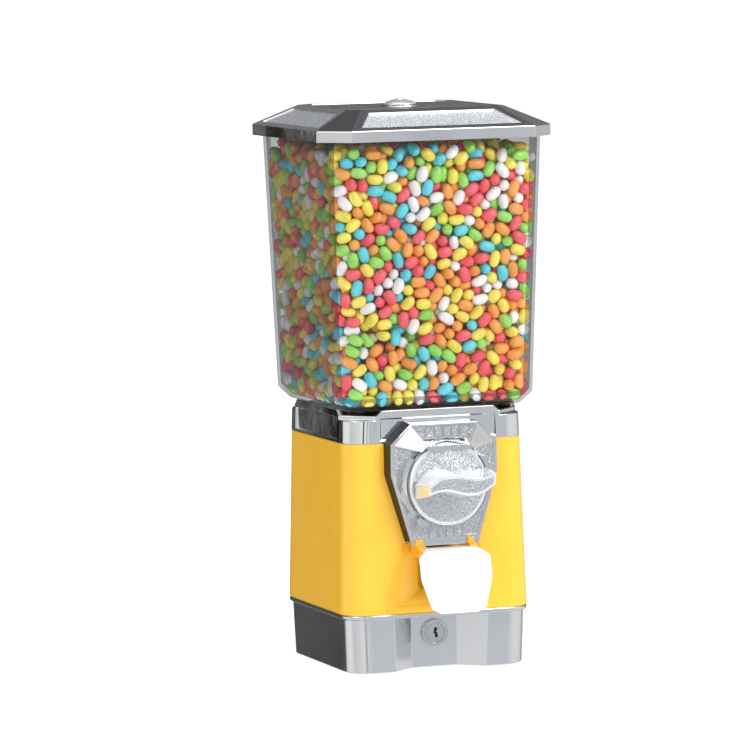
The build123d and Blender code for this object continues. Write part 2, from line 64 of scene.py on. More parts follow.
# ------------------------------------------------------------------ materials
class Mat:
    def __init__(self, name):
        self.m = bpy.data.materials.new(name)
        self.m.use_nodes = True
        self.t = self.m.node_tree
        self.b = self.t.nodes["Principled BSDF"]
        self.co = self.t.nodes.new("ShaderNodeTexCoord")
        self.obj = self.co.outputs["Object"]

    def set(self, **k):
        for n, v in k.items():
            self.b.inputs[n.replace("_", " ")].default_value = v
        return self

    def mapped(self, scale=(1, 1, 1), rot=(0, 0, 0)):
        n = self.t.nodes.new("ShaderNodeMapping")
        n.inputs["Scale"].default_value = scale
        n.inputs["Rotation"].default_value = rot
        self.t.links.new(self.obj, n.inputs["Vector"])
        return n.outputs["Vector"]

    def noise(self, scale, detail=3.0, rough=0.5, vec=None, dist=0.0):
        n = self.t.nodes.new("ShaderNodeTexNoise")
        n.inputs["Scale"].default_value = scale
        n.inputs["Detail"].default_value = detail
        n.inputs["Roughness"].default_value = rough
        n.inputs["Distortion"].default_value = dist
        self.t.links.new(vec or self.obj, n.inputs["Vector"])
        return n.outputs["Fac"]

    def voro(self, scale, vec=None, feature="F1"):
        n = self.t.nodes.new("ShaderNodeTexVoronoi")
        n.feature = feature
        n.inputs["Scale"].default_value = scale
        self.t.links.new(vec or self.obj, n.inputs["Vector"])
        return n.outputs["Distance"]

    def ramp(self, fac, stops):
        n = self.t.nodes.new("ShaderNodeValToRGB")
        el = n.color_ramp.elements
        while len(el) > 1:
            el.remove(el[-1])
        for i, (p, c) in enumerate(stops):
            c = (c, c, c, 1) if isinstance(c, (int, float)) else (*c[:3], 1)
            e = el[0] if i == 0 else el.new(p)
            e.position = p
            e.color = c
        self.t.links.new(fac, n.inputs["Fac"])
        return n.outputs["Color"]

    def math(self, op, a, b):
        n = self.t.nodes.new("ShaderNodeMath")
        n.operation = op
        for i, v in enumerate((a, b)):
            if isinstance(v, (int, float)):
                n.inputs[i].default_value = v
            else:
                self.t.links.new(v, n.inputs[i])
        return n.outputs[0]

    def mix(self, fac, a, b, mode="MIX"):
        n = self.t.nodes.new("ShaderNodeMix")
        n.data_type = "RGBA"
        n.blend_type = mode
        for k, v in (("Factor", fac), (6, a), (7, b)):
            s = n.inputs[0] if k == "Factor" else n.inputs[k]
            if isinstance(v, (int, float)):
                s.default_value = v
            elif isinstance(v, tuple):
                s.default_value = (*v[:3], 1)
            else:
                self.t.links.new(v, s)
        return n.outputs[2]

    def to(self, out, name):
        self.t.links.new(out, self.b.inputs[name])
        return self

    def bump(self, height, strength, dist, prev=None):
        n = self.t.nodes.new("ShaderNodeBump")
        n.inputs["Strength"].default_value = strength
        n.inputs["Distance"].default_value = dist
        self.t.links.new(height, n.inputs["Height"])
        if prev is not None:
            self.t.links.new(prev, n.inputs["Normal"])
        return n.outputs["Normal"]


def chrome(name, tint=(0.80, 0.81, 0.83), r0=0.05, r1=0.16, wave=0.25):
    m = Mat(name)
    m.set(Metallic=1.0)
    smudge = m.noise(38, 5, 0.6)
    fine = m.noise(900, 2, 0.5, m.mapped((1, 1, 0.08)))
    dirt = m.noise(14, 4, 0.55, dist=0.6)
    m.to(m.ramp(m.math("ADD", m.math("MULTIPLY", smudge, 0.75), m.math("MULTIPLY", fine, 0.25)),
                [(0.35, r0), (0.7, r1)]), "Roughness")
    m.to(m.ramp(dirt, [(0.3, tuple(c * 0.93 for c in tint)), (0.6, tint)]), "Base Color")
    n1 = m.bump(m.noise(42, 3, 0.5), wave, 0.0004)
    m.to(m.bump(fine, 0.06, 0.0001, n1), "Normal")
    return m.m


def grained(name, tint=(0.74, 0.75, 0.76), scale=1500, r0=0.22, r1=0.42, s=1.0):
    m = Mat(name)
    m.set(Metallic=1.0)
    v = m.voro(scale)
    g = m.noise(scale * 2.1, 3, 0.6)
    worn = m.noise(55, 4, 0.6)
    m.to(m.ramp(m.math("ADD", m.math("MULTIPLY", v, 0.5), m.math("MULTIPLY", worn, 0.5)),
                [(0.2, r0), (0.75, r1)]), "Roughness")
    m.to(m.ramp(v, [(0.18, tint), (0.62, tuple(c * 0.70 for c in tint))]), "Base Color")
    n1 = m.bump(v, s, 0.00032)
    m.to(m.bump(g, 0.5, 0.00012, n1), "Normal")
    return m.m


def plastic(name, col, r0=0.2, r1=0.34, coat=0.0, peel=0.12, var=0.06, scale=260, spec=0.5):
    m = Mat(name)
    m.set(Specular_IOR_Level=spec)
    m.b.inputs["Coat Weight"].default_value = coat
    m.b.inputs["Coat Roughness"].default_value = 0.08
    big = m.noise(22, 4, 0.55)
    spots = m.noise(640, 2, 0.5)
    dark = tuple(c * (1 - var) for c in col)
    base = m.mix(m.ramp(big, [(0.35, 0.0), (0.68, 1.0)]), dark, col)
    m.to(m.mix(m.ramp(spots, [(0.66, 0.0), (0.78, 0.18)]), base, tuple(c * 0.8 for c in col)), "Base Color")
    m.to(m.ramp(m.noise(60, 5, 0.6), [(0.3, r0), (0.7, r1)]), "Roughness")
    n1 = m.bump(m.noise(scale, 2, 0.4), peel, 0.0002)
    m.to(m.bump(spots, 0.05, 0.00006, n1), "Normal")
    return m.m


def metal(name, col=(0.55, 0.56, 0.58), r0=0.25, r1=0.45, streak=(1, 1, 1), bump=0.2, scale=500):
    m = Mat(name)
    m.set(Metallic=1.0)
    st = m.noise(scale, 3, 0.55, m.mapped(streak))
    big = m.noise(45, 4, 0.6)
    m.to(m.ramp(m.math("ADD", m.math("MULTIPLY", st, 0.5), m.math("MULTIPLY", big, 0.5)),
                [(0.35, r0), (0.65, r1)]), "Roughness")
    m.to(m.ramp(big, [(0.3, tuple(c * 0.82 for c in col)), (0.62, col)]), "Base Color")
    m.to(m.bump(st, bump, 0.0001), "Normal")
    return m.m


def rubber(name, col=(0.028, 0.028, 0.03)):
    m = Mat(name)
    n = m.noise(900, 3, 0.6)
    m.to(m.ramp(m.noise(70, 4, 0.6), [(0.35, col), (0.7, tuple(c * 1.9 for c in col))]), "Base Color")
    m.to(m.ramp(n, [(0.3, 0.55), (0.7, 0.78)]), "Roughness")
    m.to(m.bump(n, 0.25, 0.0002), "Normal")
    return m.m


def candy_mat(name, col):
    m = Mat(name)
    m.b.inputs["Coat Weight"].default_value = 0.45
    m.b.inputs["Coat Roughness"].default_value = 0.12
    tone = m.noise(95, 2, 0.5)
    speck = m.noise(1400, 2, 0.6)
    deep = tuple(c ** 1.12 * 0.90 for c in col)
    pale = tuple(min(1.0, c * 1.04 + 0.035) for c in col)
    base = m.ramp(tone, [(0.32, deep), (0.52, col), (0.72, pale)])
    m.to(m.mix(m.ramp(speck, [(0.62, 0.0), (0.75, 0.22)]), base, pale), "Base Color")
    m.to(m.ramp(m.noise(260, 3, 0.5), [(0.3, 0.24), (0.7, 0.42)]), "Roughness")
    m.to(m.bump(m.noise(420, 3, 0.5), 0.18, 0.00025), "Normal")
    return m.m


def clear_plastic(name):
    m = Mat(name)
    t = m.t
    out = t.nodes["Material Output"]
    tr = t.nodes.new("ShaderNodeBsdfTransparent")
    tr.inputs["Color"].default_value = (0.985, 0.985, 0.99, 1)
    fr = t.nodes.new("ShaderNodeFresnel")
    fr.inputs["IOR"].default_value = 1.42
    n1 = m.bump(m.noise(26, 3, 0.5), 0.12, 0.0006)
    scr = m.noise(700, 2, 0.6, m.mapped((1, 1, 0.06)))
    n2 = m.bump(scr, 0.02, 0.0001, n1)
    t.links.new(n2, fr.inputs["Normal"])
    m.b.inputs["Base Color"].default_value = (0.30, 0.30, 0.31, 1)
    m.to(m.ramp(m.noise(60, 4, 0.6), [(0.3, 0.03), (0.75, 0.09)]), "Roughness")
    m.to(n2, "Normal")
    m.b.inputs["Specular IOR Level"].default_value = 1.0
    geo = t.nodes.new("ShaderNodeNewGeometry")
    rim = m.ramp(fr.outputs[0], [(0.26, (0.99, 0.99, 0.99)), (0.55, (0.74, 0.75, 0.76)), (0.9, (0.45, 0.46, 0.47))])
    t.links.new(rim, tr.inputs["Color"])
    haze = m.ramp(m.noise(18, 4, 0.6), [(0.35, 0.004), (0.7, 0.018)])
    front = m.math("SUBTRACT", 1.0, geo.outputs["Backfacing"])
    fac = m.math("MULTIPLY", m.math("ADD", fr.outputs[0], haze), front)
    mx = t.nodes.new("ShaderNodeMixShader")
    t.links.new(fac, mx.inputs[0])
    t.links.new(tr.outputs[0], mx.inputs[1])
    t.links.new(m.b.outputs[0], mx.inputs[2])
    t.links.new(mx.outputs[0], out.inputs["Surface"])
    return m.m


LID = chrome("lid_chrome", (0.86, 0.86, 0.87), 0.03, 0.10, 0.45)
LID_G = grained("lid_grain", (0.90, 0.925, 0.96), 900, 0.2, 0.34, 1.0)
COLLAR = chrome("collar_chrome", (0.86, 0.865, 0.875), 0.03, 0.10, 0.4)
BASE = chrome("base_chrome", (0.84, 0.85, 0.875), 0.17, 0.27, 0.35)
FACE = chrome("plate_edge_chrome", (0.82, 0.825, 0.83), 0.05, 0.15, 0.35)
LID_G.node_tree.nodes["Principled BSDF"].inputs["Metallic"].default_value = 0.6
LID_T = grained("lid_top_grain", (0.80, 0.82, 0.85), 900, 0.2, 0.34, 1.0)
FACE_G = grained("disc_grain", (0.90, 0.925, 0.95), 1050, 0.20, 0.34, 0.8)
PLATE_G = grained("plate_grain", (0.76, 0.775, 0.80), 1000, 0.20, 0.34, 0.9)
HANDLE = chrome("handle_chrome", (0.93, 0.935, 0.94), 0.04, 0.12, 0.3)
HANDLE.node_tree.nodes["Principled BSDF"].inputs["Metallic"].default_value = 0.62
SIDE = metal("plate_side", (0.085, 0.09, 0.10), 0.3, 0.5, (1, 1, 1), 0.6, 900)
LOCKM = metal("lock_steel", (0.72, 0.72, 0.73), 0.14, 0.3, (1, 1, 1), 0.1)
YELLOW = plastic("yellow_enamel", (0.95, 0.52, 0.030), 0.16, 0.27, 0.55, 0.10, 0.05, 240)
YPLAST = plastic("yellow_plastic", (0.93, 0.48, 0.026), 0.24, 0.36, 0.3, 0.12, 0.07, 300)
WHITE = plastic("white_plastic", (0.88, 0.88, 0.875), 0.16, 0.28, 0.4, 0.08, 0.03, 200)
CLEAR = clear_plastic("clear_plastic")
FOAM = rubber("gasket_foam", (0.28, 0.28, 0.29))
RUBBER = rubber("black_rubber")
ZINC = metal("zinc_steel", (0.60, 0.61, 0.63), 0.2, 0.42)
SHEET = metal("steel_sheet", (0.50, 0.51, 0.53), 0.3, 0.5, (0.15, 1, 1), 0.25, 800)
CAST = metal("cast_zinc", (0.50, 0.51, 0.52), 0.35, 0.6, (1, 1, 1), 0.45, 700)
GREY = plastic("grey_plastic", (0.075, 0.078, 0.085), 0.38, 0.55, 0.0, 0.2, 0.1, 420)
WHEELM = plastic("wheel_plastic", (0.74, 0.73, 0.70), 0.3, 0.46, 0.0, 0.15, 0.06, 320)
# painted shade: near-black material for the key slot, standing in for the shade inside the keyway
KEYWAY_SHADE = rubber("key_slot_painted_shade", (0.006, 0.006, 0.007))


# ------------------------------------------------------------------ mesh tools
def sharpen(bm, deg):
    lim = math.radians(deg)
    for f in bm.faces:
        f.smooth = True
    for e in bm.edges:
        e.smooth = not (len(e.link_faces) == 2 and e.calc_face_angle(0.0) > lim)


def add(name, bm, mat, body, deg=34, wn=True, *stands):
    bmesh.ops.recalc_face_normals(bm, faces=bm.faces)
    sharpen(bm, deg)
    me = bpy.data.meshes.new(name)
    bm.to_mesh(me)
    bm.free()
    me.materials.append(mat)
    o = bpy.data.objects.new(name, me)
    bpy.context.scene.collection.objects.link(o)
    if wn:
        w = o.modifiers.new("wn", "WEIGHTED_NORMAL")
        w.keep_sharp = True
    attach(o, body)
    if stands:
        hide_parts(*stands)
    return o


def refine(node, mat, body, width=0.35, segs=2, deg=30, name=None, merge=True):
    bm = bmesh.new()
    bm.from_mesh(NODES[node].data)
    bmesh.ops.remove_doubles(bm, verts=bm.verts, dist=3e-6)
    if merge:
        bmesh.ops.dissolve_limit(bm, angle_limit=math.radians(0.5), verts=bm.verts, edges=bm.edges)
    lim = math.radians(deg)
    es = [e for e in bm.edges if len(e.link_faces) == 2 and e.calc_face_angle(0.0) > lim]
    if width:
        bmesh.ops.bevel(bm, geom=es, offset=width * MM, offset_type="OFFSET", segments=segs, profile=0.5,
                        affect="EDGES", clamp_overlap=False, loop_slide=True)
    bmesh.ops.triangulate(bm, faces=[f for f in bm.faces if len(f.verts) > 4])
    return add(name or node + "_v", bm, mat, body, 34, True, node)


def poly_ring(pts, radii, n=8):
    """corner-rounded closed polygon; pts counter-clockwise, in mm"""
    out = []
    k = len(pts)
    for i in range(k):
        a, b, c = (Vector(pts[i - 1]), Vector(pts[i]), Vector(pts[(i + 1) % k]))
        r = radii[i] if isinstance(radii, (list, tuple)) else radii
        u, v = (a - b).normalized(), (c - b).normalized()
        ang = math.acos(max(-1, min(1, u.dot(v))))
        d = r / math.tan(ang / 2)
        p0, p1 = b + u * d, b + v * d
        cen = b + (u + v).normalized() * (r / math.sin(ang / 2))
        a0 = math.atan2(p0.y - cen.y, p0.x - cen.x)
        a1 = math.atan2(p1.y - cen.y, p1.x - cen.x)
        da = (a1 - a0 + math.pi) % (2 * math.pi) - math.pi
        for j in range(n + 1):
            t = a0 + da * j / n
            out.append((cen.x + r * math.cos(t), cen.y + r * math.sin(t)))
    return out


def square_ring(h, r, n=8):
    return poly_ring([(h, -h), (h, h), (-h, h), (-h, -h)], min(r, h - 1e-4), n)


def oct_ring(h, c, r=1.5, n=3):
    k = h - c
    return poly_ring([(k, -h), (h, -k), (h, k), (k, h), (-k, h), (-h, k), (-h, -k), (-k, -h)], r, n)


def loft(bm, rings, closed=True):
    """rings: list of lists of 3-D points in mm (rod frame)"""
    vs = [[bm.verts.new(P(*p)) for p in r] for r in rings]
    m = len(vs)
    for i in range(m if closed else m - 1):
        a, b = vs[i], vs[(i + 1) % m]
        for j in range(len(a)):
            k = (j + 1) % len(a)
            try:
                bm.faces.new((a[j], a[k], b[k], b[j]))
            except ValueError:
                pass
    return vs


def zr(ring, z):
    return [(x, y, z) for x, y in ring]


def pebble(v, size):
    d = noise.voronoi(v / size)[0]
    return max(0.0, min(1.0, (d[1] - d[0]) * 1.6))


def patch(name, mat, body, origin, ux, uy, nrm, inside, w, h, step, amp, size):
    """grained inlay: a fine grid with real relief, on a plane; coordinates in mm"""
    bm = bmesh.new()
    nx, ny = int(w / step), int(h / step)
    o, ux, uy, nrm = Vector(origin), Vector(ux).normalized(), Vector(uy).normalized(), Vector(nrm).normalized()
    grid = {}
    for i in range(nx + 1):
        for j in range(ny + 1):
            a, b = -w / 2 + w * i / nx, -h / 2 + h * j / ny
            if inside(a, b):
                p = o + ux * a + uy * b
                q = p + nrm * (amp * pebble(p, size))
                grid[i, j] = bm.verts.new(P(*q))
    for (i, j), v in grid.items():
        q = (grid.get((i + 1, j)), grid.get((i + 1, j + 1)), grid.get((i, j + 1)))
        if all(q):
            bm.faces.new((v, *q))
    for v in [v for v in bm.verts if not v.link_faces]:
        bm.verts.remove(v)
    for f in bm.faces:
        f.smooth = True
    me = bpy.data.meshes.new(name)
    bm.to_mesh(me)
    bm.free()
    me.materials.append(mat)
    ob = bpy.data.objects.new(name, me)
    bpy.context.scene.collection.objects.link(ob)
    s = ob.modifiers.new("thick", "SOLIDIFY")
    s.thickness = 0.3 * MM
    s.offset = -1
    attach(ob, body)
    return ob


# ------------------------------------------------------------------ metal shell
refine("lid", LID, "lid", 0.45, 3, 12)
refine("lid_nut", HANDLE, "lid_nut", 0.4, 3, 30)
slope = math.atan2(395.0 - 381.6, 87.3 - 58.7)
for k in range(4):
    c, s = round(math.cos(k * math.pi / 2)), round(math.sin(k * math.pi / 2))

    def rot(v):
        return (v[0] * c - v[1] * s, v[0] * s + v[1] * c, v[2])

    org = (0, -73.0, 388.3)
    nrm = (0, -math.sin(slope), math.cos(slope))
    up = (0, math.cos(slope), math.sin(slope))
    base = Vector(org) - Vector(nrm) * 0.95
    patch(f"lid_panel_{k + 1}", LID_G, "lid", rot(base), rot((1, 0, 0)), rot(up), rot(nrm),
          lambda a, b: abs(b) < 10.7 and abs(a) < 52.75 - b * (6.25 / 10.5) + 0.3, 120, 22, 0.36, 0.11, 0.8)
patch("lid_panel_top", LID_T, "lid", (0, 0, 394.3), (1, 0, 0), (0, 1, 0), (0, 0, 1),
      lambda a, b: max(abs(a), abs(b)) < 53.2 and abs(a) + abs(b) < 100.2 and a * a + b * b > 144, 108, 108, 0.45, 0.13, 0.95)

# ------------------------------------------------------------------ canister
bm = bmesh.new()
secs = [(53, 53, 185.2), (65.4, 12.4, 185.2), (66.6, 13.2, 185.5), (67.3, 13.6, 186.1), (73.5, 16.4, 192.9),
        (74.0, 16.9, 193.9), (74.2, 17, 195.0), (78.0, 17, 310), (80.3, 17, 377.4), (80.2, 16.9, 377.9), (79.8, 16.5, 378.0), (78.4, 15, 378.0),
        (78.05, 14.7, 377.6), (75.7, 14.6, 310), (71.9, 14.6, 196.4), (71.6, 14.5, 195.2), (71.0, 14.1, 194.2),
        (66.0, 11.9, 188.7), (65.3, 11.4, 188.0), (64.0, 10.8, 187.6), (53, 53, 187.6)]
loft(bm, [zr(square_ring(h, r, 12), z) for h, r, z in secs])
add("canister_v", bm, CLEAR, "cabinet", 40, False, "canister")
refine("canister_gasket", FOAM, "cabinet", 0.2)

# ------------------------------------------------------------------ collar, body, base
refine("collar", COLLAR, "cabinet", 0.6, 3, 30)
refine("body_shell", YELLOW, "cabinet", 0.5, 3, 30, merge=False)
refine("chute", YPLAST, "cabinet", 0.3, 2, 30, merge=False)
refine("base_shell", BASE, "cabinet", 0.6, 3, 24)
plate_v = refine("mechanism_plate", FACE, "cabinet", 0.12, 2, 30, merge=False)
refine("turn_handle", HANDLE, "crank", 0.2, 2, 30, merge=False)
refine("chute_door", WHITE, "door", 0.6, 3, 24)
refine("lock_barrel", LOCKM, "cabinet", 0.4, 3, 30)
refine("lock_plug", LOCKM, "lock", 0.25, 2, 30)

# ------------------------------------------------------------------ front details
CZ = 133.5


GRIP = np.array([(-24.8, 135.9, 128.8), (-20, 138.9, 130.5), (-15, 141.5, 131.3), (-10, 142.6, 131.2), (-5, 142.7, 130.0),
                 (0, 141.8, 128.6), (5, 140.6, 127.7), (10, 139.9, 127.8), (15, 140.1, 128.9), (20, 141.3, 131.6), (24.9, 142.9, 135.2)])


def on_grip(a, b):
    z = b + CZ
    return abs(a) < 23.1 and np.interp(a, GRIP[:, 0], GRIP[:, 2]) + 1.75 < z < np.interp(a, GRIP[:, 0], GRIP[:, 1]) - 1.75


def inpoly(x, y, poly):
    c = False
    for i in range(len(poly)):
        (x0, y0), (x1, y1) = poly[i - 1], poly[i]
        if (y0 > y) != (y1 > y) and x < (x1 - x0) * (y - y0) / (y1 - y0) + x0:
            c = not c
    return c


PLATE = [(-25.6, 177.3), (25.6, 177.3), (41.3, 162.6), (41.4, 140), (27.2, 92), (-27.2, 92), (-41.4, 140), (-41.3, 162.6)]


def inner(poly, d):
    k = len(poly)
    cx_, cz_ = 0.0, sum(p[1] for p in poly) / k
    res = []
    for i in range(k):
        a, b, c = Vector(poly[i - 1]), Vector(poly[i]), Vector(poly[(i + 1) % k])
        u, v = (b - a).normalized(), (c - b).normalized()
        n1, n2 = Vector((-u.y, u.x)), Vector((-v.y, v.x))
        if n1.dot(Vector((cx_, cz_)) - a) < 0:
            n1, n2 = -n1, -n2
        m = (n1 + n2).normalized()
        res.append(tuple(b + m * (d / m.dot(n1))))
    return res


PIN = inner(PLATE, 4.1)


SIDE_IN = inner(PLATE, 2.4)
plate_v.data.materials.append(SIDE)
for f in plate_v.data.polygons:
    if abs(f.normal.x) > 0.45 and abs(f.normal.y) < 0.5 and not inpoly(f.center.x / MM, f.center.z / MM, SIDE_IN):
        f.material_index = 1
# painted reflection: the left wedge facet above the disc gets the brighter, part-diffuse handle chrome so it shows
# white like a reflected light; the right wedge keeps the plate chrome
plate_v.data.materials.append(HANDLE)
for f in plate_v.data.polygons:
    c = f.center / MM
    if c.x < -14.5 and c.z > 156.0 and c.y - FY < -78.6 and f.normal.y < -0.2 and f.normal.z > -0.5:
        f.material_index = 2


def prism(name, mat, body, quad, y0, y1, width=0.3):
    """solid with outline quad, corners (x, z), between depths y0 (back) and y1 (front)"""
    bm = bmesh.new()
    back = [bm.verts.new(P(x, y0, z)) for x, z in quad]
    front = [bm.verts.new(P(x, y1, z)) for x, z in quad]
    k = len(quad)
    bm.faces.new(back)
    bm.faces.new(front[::-1])
    for i in range(k):
        bm.faces.new((back[i], front[i], front[(i + 1) % k], back[(i + 1) % k]))
    bmesh.ops.recalc_face_normals(bm, faces=bm.faces)
    bmesh.ops.bevel(bm, geom=list(bm.edges), offset=width * MM, offset_type="OFFSET", segments=2, profile=0.5,
                    affect="EDGES", clamp_overlap=True)
    return add(name, bm, mat, body)


prism("plate_lip", FACE, "cabinet", [(-24.9, 89.9), (24.9, 89.9), (26.3, 94.7), (-26.3, 94.7)], -70.5, -78.06, 0.25)
prism("hinge_lug_left", YPLAST, "cabinet", [(-22.6, 88.0), (-17.2, 88.0), (-17.2, 94.2), (-17.9, 94.8), (-22.6, 94.8)], -77.6, -80.0, 0.4)
prism("hinge_lug_right", YPLAST, "cabinet", [(16.0, 88.0), (21.0, 88.0), (21.0, 94.8), (16.7, 94.8), (16.0, 94.2)], -77.6, -80.0, 0.4)


# painted shade: a near-black solid fills the key slot so the keyway reads dark
prism("key_slot", KEYWAY_SHADE, "lock", [(x * 0.97, 25.0 + (z - 25.0) * 0.97) for x, z in
      [(-0.4, 21.4), (1.7, 21.4), (1.7, 24.6), (0.3, 25.6), (1.2, 26.6), (1.2, 28.6), (-1.0, 28.6), (-1.0, 26.2), (-1.8, 25.2), (-0.4, 24.2)]],
      -49.3, -54.5, 0.03)


def on_plate(a, b):
    z = b + CZ
    if not inpoly(a, z, PIN) or math.hypot(a, b) < 27.0:
        return False
    if z > 164.3 and abs(a) < 16.0 + (z - 164.6) * 0.784 or z > 156.8 and abs(a) < 17.2:
        return False
    if math.hypot(a + 27.2, z - 155.4) < 2.9 or math.hypot(a + 25.6, z - 111.4) < 2.7:
        return False
    return not (93.2 < z < 103.8 and abs((a + 15.75) % 6.3 - 3.15) < 0.8 and abs(a) < 13.6)


def on_ribs(a, b):
    z = b + 169.7
    return z < 173.9 and abs(a) < 15.2 + (z - 164.6) * 0.784 and z > 165.0 and not (abs((a + 15.75) % 6.3 - 3.15) < 0.8 and abs(a) < 13.6)


patch("plate_grain", PLATE_G, "cabinet", (0, -77.42, CZ), (1, 0, 0), (0, 0, 1), (0, -1, 0), on_plate, 84, 88, 0.36, 0.09, 0.8)
patch("disc_grain", FACE_G, "crank", (0, -86.02, CZ), (1, 0, 0), (0, 0, 1), (0, -1, 0),
      lambda a, b: math.hypot(a, b) < 26.7, 56, 56, 0.34, 0.075, 0.75)
patch("handle_grain", FACE_G, "crank", (0, -112.66, CZ), (1, 0, 0), (0, 0, 1), (0, -1, 0), on_grip, 50, 22, 0.32, 0.075, 0.75)
patch("rib_grain", PLATE_G, "cabinet", (0, -75.32, 169.7), (1, 0, 0), (0, 0, 1), (0, -1, 0), on_ribs, 50, 11, 0.32, 0.075, 0.75)


# scoop behind the door: a rounded lip that runs into a concave funnel
def face_y(z):
    return -(70.1 - (z - 42.0) / 120.0 * 2.9)


def trap(hb, ht, zb, zt, r):
    return poly_ring([(-hb, zb), (hb, zb), (ht, zt), (-ht, zt)], r, 8)


bm = bmesh.new()
rings = []
outer_t, inner_t = trap(42.3, 32.3, 44.1, 92.1, 3.0), trap(12.1, 12.1, 58.4, 89.7, 3.0)
steps = [(0.0, 0.04), (0.02, 0.14), (0.05, 0.12), (0.09, -0.02), (0.14, -0.2), (0.2, -0.45), (0.3, -1.1), (0.4, -2.0), (0.5, -3.1),
         (0.6, -4.5), (0.7, -6.2), (0.8, -8.1), (0.9, -10.2), (1.0, -12.6)]
for a, dy in steps:
    ring = []
    for (x0, z0), (x1, z1) in zip(outer_t, inner_t):
        x, z = x0 + (x1 - x0) * a, z0 + (z1 - z0) * a
        ring.append((x, face_y(z) - dy, z))
    rings.append(ring)
loft(bm, rings, closed=False)
o = add("scoop", bm, YELLOW, "cabinet", 60, False)
s = o.modifiers.new("thick", "SOLIDIFY")
s.thickness = 0.16 * MM
s.offset = 0

# ------------------------------------------------------------------ carried-over CAD nodes
PLAIN = {
    "base_plate": SHEET, "feet": RUBBER, "feet_screws": ZINC, "coin_box": GREY, "lock_nut": ZINC, "lock_cam": ZINC,
    "cam_screw": ZINC, "hinge_pin": ZINC, "coin_guide": ZINC, "lock_catch": ZINC, "floor_plate": GREY,
    "wheel_cover": GREY, "centre_rod": ZINC, "rod_nut": ZINC, "rod_washer": ZINC, "rod_stop_collar": ZINC,
    "mechanism_housing": CAST, "mechanism_screws": ZINC, "crank_shaft": ZINC, "coin_carrier": ZINC,
    "ratchet_wheel": ZINC, "drive_gear": ZINC, "shaft_nut": ZINC, "pawl": ZINC, "pawl_pin": ZINC,
    "pawl_spring": ZINC, "candy_wheel": WHEELM, "crown_gear": WHEELM, "agitator": WHEELM, "nut_retainer": ZINC,
}
for n, m in PLAIN.items():
    o = NODES[n]
    o.data.materials.clear()
    o.data.materials.append(m)

# ------------------------------------------------------------------ candy
RS, OFF = 4.1, 1.75


def half_in(z):
    return np.where(z < 195.0, 65.5 + (z - 188.0) * (71.6 - 65.5) / 7.0, 71.6 + (z - 195.0) * (78.0 - 71.6) / 183.0)


def near_pairs(pts, cell):
    g = np.floor((pts - pts.min(0)) / cell).astype(np.int64) + 1
    dim = g.max(0) + 2
    key = (g[:, 0] * dim[1] + g[:, 1]) * dim[2] + g[:, 2]
    order = np.argsort(key, kind="stable")
    ks = key[order]
    out = []
    for dx in (-1, 0, 1):
        for dy in (-1, 0, 1):
            for dz in (-1, 0, 1):
                d = (dx * dim[1] + dy) * dim[2] + dz
                if d < 0:
                    continue
                lo = np.searchsorted(ks, ks + d, "left")
                hi = np.searchsorted(ks, ks + d, "right")
                cnt = hi - lo
                i = np.repeat(np.arange(len(ks)), cnt)
                j = np.arange(cnt.sum()) - np.repeat(np.cumsum(cnt) - cnt, cnt) + np.repeat(lo, cnt)
                if d == 0:
                    keep = i < j
                    i, j = i[keep], j[keep]
                out.append((order[i], order[j]))
    return np.concatenate([a for a, b in out]), np.concatenate([b for a, b in out])


def pack_candy(n=3850, core=48.0, z0=188.4, z1=374.0, seed=5):
    rng = np.random.default_rng(seed)
    c = np.zeros((0, 3))
    while len(c) < n:
        p = rng.uniform((-78, -78, z0 + 4), (78, 78, z1 - 4), (n * 2, 3))
        m = np.abs(p[:, :2]).max(1)
        ok = (m < half_in(p[:, 2]) - 5) & ((m > core) | (p[:, 2] > z1 - 30)) & (np.hypot(p[:, 0], p[:, 1]) > 9)
        c = np.concatenate([c, p[ok]])
    c = c[:n]
    d = rng.normal(size=(n, 3))
    d /= np.linalg.norm(d, axis=1)[:, None]
    ia = np.arange(n)
    fi = fj = None
    for it in range(230):
        pts = np.concatenate([c + d * OFF, c - d * OFF])
        if it % 5 == 0:
            fi, fj = near_pairs(pts, 2 * RS + 1.2)
            keep = (fi % n) != (fj % n)
            fi, fj = fi[keep], fj[keep]
        push = np.zeros_like(pts)
        v = pts[fi] - pts[fj]
        L = np.linalg.norm(v, axis=1) + 1e-9
        o = np.maximum(0, 2 * RS - L)
        w = (v / L[:, None]) * (o * 0.5)[:, None] * 0.55
        np.add.at(push, fi, w)
        np.add.at(push, fj, -w)
        pts = pts + push
        if it < 170:
            pts[:, 2] -= 0.05
        pts[:, 2] = np.clip(pts[:, 2], z0 + RS * 0.9, z1 - RS)
        hw = half_in(pts[:, 2]) - RS - 0.15
        pts[:, 0] = np.clip(pts[:, 0], -hw, hw)
        pts[:, 1] = np.clip(pts[:, 1], -hw, hw)
        q = np.abs(pts[:, :2]) - (hw - 11.0)[:, None]
        cn = (q > 0).all(1)
        r = np.hypot(q[:, 0], q[:, 1])
        far = cn & (r > 11.0)
        if far.any():
            k = (11.0 / r[far])[:, None]
            pts[far, :2] = np.sign(pts[far, :2]) * ((hw[far] - 11.0)[:, None] + q[far] * k)
        m = np.abs(pts[:, :2]).max(1)
        inn = (m < core) & (pts[:, 2] < z1 - 27)
        if inn.any():
            ax = np.abs(pts[inn, :2]).argmax(1)
            idx = np.where(inn)[0]
            sgn = np.sign(pts[idx, ax])
            pts[idx, ax] = sgn * (np.abs(pts[idx, ax]) * 0.6 + core * 0.4)
        rr = np.hypot(pts[:, 0], pts[:, 1])
        near = rr < 8.3
        if near.any():
            pts[near, :2] *= (8.3 / np.maximum(rr[near], 0.5))[:, None]
        a, b = pts[:n], pts[n:]
        c = (a + b) / 2
        d = a - b
        d /= np.linalg.norm(d, axis=1)[:, None] + 1e-9
    return c, d, rng


